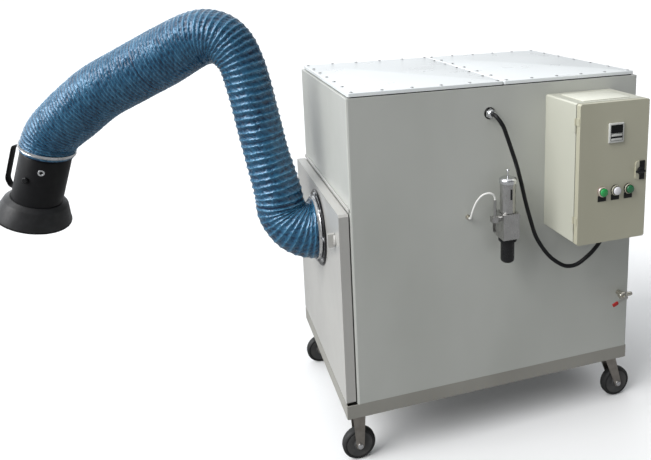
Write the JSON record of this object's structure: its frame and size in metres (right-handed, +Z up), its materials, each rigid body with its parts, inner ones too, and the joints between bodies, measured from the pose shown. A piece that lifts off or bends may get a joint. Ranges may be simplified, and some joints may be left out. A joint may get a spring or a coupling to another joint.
{
  "type": "dust extractor",
  "caption": "Wheeled sheet steel dust and fume extractor with an inlet door, a ribbed hose over a jointed arm, a suction hood and a wall-hung control box.",
  "frame": {"origin": "centre of the cabinet body's footprint, on the underside of its base plinth; the casters stand below it", "axes": "+Z up; +X along the long face that carries the control box, away from the inlet door; +Y from that face towards the back"},
  "size_m": [1.9774, 1.0414, 1.3324],
  "materials": {
    "cabinet_paint": "satin",
    "door_paint": "satin",
    "lid_paint": "satin",
    "cream_paint": "satin",
    "black_paint": "satin",
    "black_plastic": "satin",
    "gasket_rubber": "matte",
    "zinc_steel": "satin",
    "alloy": "satin",
    "nickel_brass": "gloss",
    "hose_blue": "satin",
    "cable_black": "matte",
    "tube_white": "satin",
    "caster_rubber": "matte",
    "filter_media": "matte",
    "galvanised_steel": "satin",
    "motor_paint": "satin",
    "button_green": "gloss",
    "button_green_dark": "gloss",
    "button_white": "gloss"
  },
  "bodies": {
    "cabinet": {"base_plinth": "cabinet_paint", "cabinet_shell": "cabinet_paint", "lid_gasket": "gasket_rubber", "lid_left": "lid_paint", "lid_right": "lid_paint", "door_seal": "gasket_rubber", "control_box": "cream_paint", "control_box_seal": "gasket_rubber", "mounting_plate": "galvanised_steel", "control_cable": "cable_black", "cable_gland": "alloy", "filter_head": "alloy", "filter_bonnet": "alloy", "filter_bowl": "black_plastic", "air_tube": "tube_white", "tube_fitting": "nickel_brass", "valve_body": "nickel_brass", "rigid_caster_front": "zinc_steel", "rigid_caster_rear": "zinc_steel", "swivel_plate_front": "zinc_steel", "swivel_plate_rear": "zinc_steel", "tube_sheet": "galvanised_steel", "filter_cartridge_left": "filter_media", "filter_cartridge_right": "filter_media", "dust_tray": "galvanised_steel", "fan_housing": "cabinet_paint", "motor": "motor_paint", "exhaust_grille": "black_paint"},
    "inlet_door": {"door_panel": "door_paint", "inlet_flange": "black_paint", "arm_bracket": "black_paint", "inlet_clamp": "zinc_steel", "hose_inlet_bend": "hose_blue"},
    "latch": {"door_latch": "black_plastic"},
    "knuckle": {"arm_knuckle": "black_paint", "hose_shoulder": "hose_blue"},
    "lower_arm": {"arm_lower_link": "black_paint", "hose_elbow": "hose_blue"},
    "fore_arm": {"arm_fore_link": "black_paint", "hose_forearm": "hose_blue"},
    "hood": {"hood_stem": "black_paint", "hood_clamp": "zinc_steel", "hood_neck": "black_paint", "hood_flare": "black_paint", "hood_handle": "black_paint"},
    "control_door": {"control_box_door": "cream_paint", "meter": "black_plastic"},
    "green_left_button": {"button_green_left": "button_green"},
    "white_button": {"button_white": "button_white"},
    "green_right_button": {"button_green_right": "button_green_dark"},
    "lock": {"lock_knob": "black_plastic"},
    "adjusting_screw": {"filter_adjusting_screw": "zinc_steel"},
    "supply_lever": {"valve_lever": "zinc_steel"},
    "swivel_front": {"swivel_fork_front": "zinc_steel"},
    "swivel_rear": {"swivel_fork_rear": "zinc_steel"},
    "left_front_wheel": {"wheel_left_front": "caster_rubber"},
    "left_rear_wheel": {"wheel_left_rear": "caster_rubber"},
    "right_front_wheel": {"wheel_right_front": "caster_rubber"},
    "right_rear_wheel": {"wheel_right_rear": "caster_rubber"},
    "fan_wheel": {"impeller": "zinc_steel"}
  },
  "joints": [
    {"name": "door_hinge", "type": "hinge", "parent": "cabinet", "child": "inlet_door", "pos_m": [-0.458, 0.3263, 0.33], "axis": [0, 0, 1], "range_deg": [-95, 0]},
    {"name": "door_latch_turn", "type": "hinge", "parent": "inlet_door", "child": "latch", "pos_m": [-0.488, -0.258, 0.53], "axis": [-1, 0, 0], "range_deg": [0, 90]},
    {"name": "arm_yaw", "type": "hinge", "parent": "inlet_door", "child": "knuckle", "pos_m": [-0.558, -0.022, 0.483], "axis": [0, 0, 1], "range_deg": [-30, 45], "deforming": ["hose_inlet_bend"]},
    {"name": "arm_shoulder", "type": "hinge", "parent": "knuckle", "child": "lower_arm", "pos_m": [-0.58449, -0.00792, 0.545], "axis": [0.4695, 0.8829, 0], "range_deg": [-25, 20], "deforming": ["hose_shoulder"]},
    {"name": "arm_elbow", "type": "hinge", "parent": "lower_arm", "child": "fore_arm", "pos_m": [-0.72576, 0.0672, 1.07], "axis": [0.4695, 0.8829, 0], "range_deg": [-35, 35], "deforming": ["hose_elbow"]},
    {"name": "hood_tilt", "type": "hinge", "parent": "fore_arm", "child": "hood", "pos_m": [-1.18048, 0.30898, 0.852], "axis": [0.4695, 0.8829, 0], "range_deg": [-35, 45], "deforming": ["hose_forearm"]},
    {"name": "control_door_hinge", "type": "hinge", "parent": "cabinet", "child": "control_door", "pos_m": [0.1391, -0.4808, 0.706], "axis": [0, 0, 1], "range_deg": [-110, 0]},
    {"name": "green_left_press", "type": "slide", "parent": "control_door", "child": "green_left_button", "axis": [0, 1, 0], "range_m": [0, 0.003], "stiffness_N_per_m": 300, "springref_m": -0.003},
    {"name": "white_press", "type": "slide", "parent": "control_door", "child": "white_button", "axis": [0, 1, 0], "range_m": [0, 0.003], "stiffness_N_per_m": 300, "springref_m": -0.003},
    {"name": "green_right_press", "type": "slide", "parent": "control_door", "child": "green_right_button", "axis": [0, 1, 0], "range_m": [0, 0.003], "stiffness_N_per_m": 300, "springref_m": -0.003},
    {"name": "lock_turn", "type": "hinge", "parent": "control_door", "child": "lock", "pos_m": [0.3375, -0.5003, 0.704], "axis": [0, -1, 0], "range_deg": [0, 90]},
    {"name": "adjusting_screw_turn", "type": "hinge", "parent": "cabinet", "child": "adjusting_screw", "pos_m": [-0.0075, -0.375, 0.69], "axis": [0, 0, 1], "range_deg": [-180, 180]},
    {"name": "supply_lever_turn", "type": "hinge", "parent": "cabinet", "child": "supply_lever", "pos_m": [0.417, -0.3603, 0.237], "axis": [0, -1, 0], "range_deg": [0, 90]},
    {"name": "swivel_front_turn", "type": "hinge", "parent": "cabinet", "child": "swivel_front", "pos_m": [0.416, -0.278, -0.01], "axis": [0, 0, 1], "continuous": true},
    {"name": "swivel_rear_turn", "type": "hinge", "parent": "cabinet", "child": "swivel_rear", "pos_m": [0.416, 0.278, -0.01], "axis": [0, 0, 1], "continuous": true},
    {"name": "left_front_wheel_spin", "type": "hinge", "parent": "cabinet", "child": "left_front_wheel", "pos_m": [-0.448, -0.278, -0.11], "axis": [0, 1, 0], "continuous": true},
    {"name": "left_rear_wheel_spin", "type": "hinge", "parent": "cabinet", "child": "left_rear_wheel", "pos_m": [-0.448, 0.278, -0.11], "axis": [0, 1, 0], "continuous": true},
    {"name": "right_front_wheel_spin", "type": "hinge", "parent": "swivel_front", "child": "right_front_wheel", "pos_m": [0.448, -0.278, -0.11], "axis": [0, 1, 0], "continuous": true},
    {"name": "right_rear_wheel_spin", "type": "hinge", "parent": "swivel_rear", "child": "right_rear_wheel", "pos_m": [0.448, 0.278, -0.11], "axis": [0, 1, 0], "continuous": true},
    {"name": "fan_spin", "type": "hinge", "parent": "cabinet", "child": "fan_wheel", "pos_m": [0.1323, 0.03, 0.754], "axis": [1, 0, 0], "continuous": true}
  ]
}
